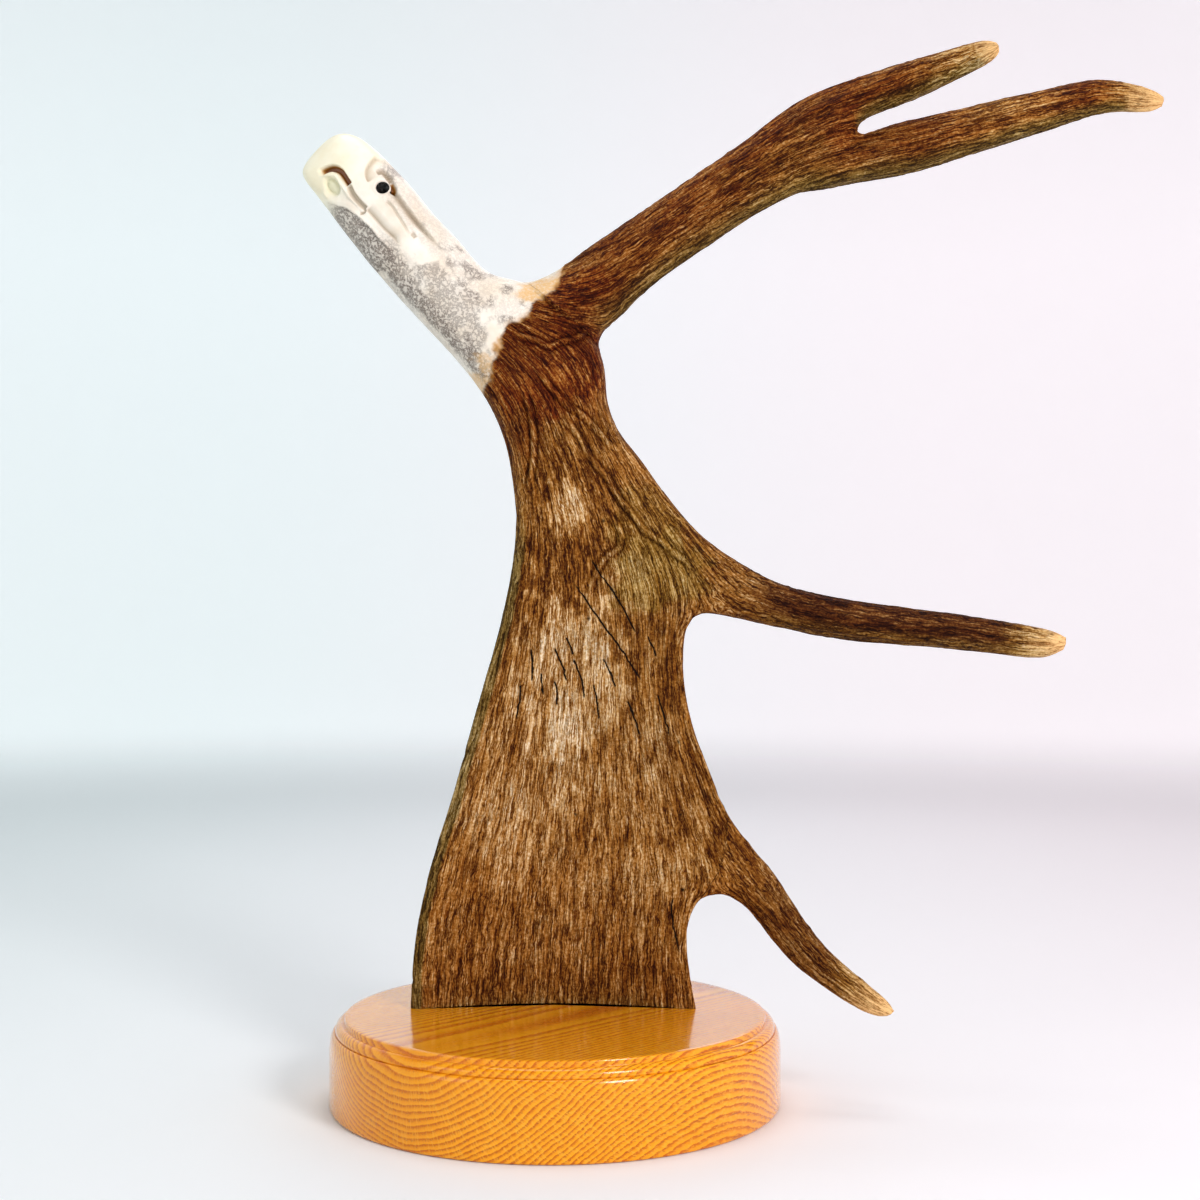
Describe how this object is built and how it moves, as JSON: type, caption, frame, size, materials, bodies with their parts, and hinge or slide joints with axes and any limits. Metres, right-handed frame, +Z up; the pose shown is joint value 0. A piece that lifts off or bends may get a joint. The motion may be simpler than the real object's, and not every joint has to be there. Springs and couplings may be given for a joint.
{
  "type": "carved moose antler on a wooden base",
  "caption": "Moose antler stood on a round turned oak base, its beam end carved as an eagle head with glass eyes.",
  "frame": {"origin": "centre of the round base's underside, on the surface that it stands on", "axes": "+Z up the antler; +X from the carved head towards the tines; the palm's hollow broad face looks along -Y"},
  "size_m": [0.4818, 0.254, 0.5884],
  "materials": {
    "oak": "gloss",
    "carved_bone": "satin",
    "antler_brown": "satin",
    "eye_glass": "polished",
    "screw_steel": "satin"
  },
  "bodies": {
    "root": {"base": "oak", "beam_head": "carved_bone", "hub": "antler_brown", "palm": "antler_brown", "brow_stem": "antler_brown", "upper_point": "antler_brown", "lower_point": "antler_brown", "middle_tine": "antler_brown", "lower_tine": "antler_brown", "eye_left": "eye_glass", "eye_right": "eye_glass", "screw_left": "screw_steel", "screw_right": "screw_steel"}
  },
  "joints": []
}
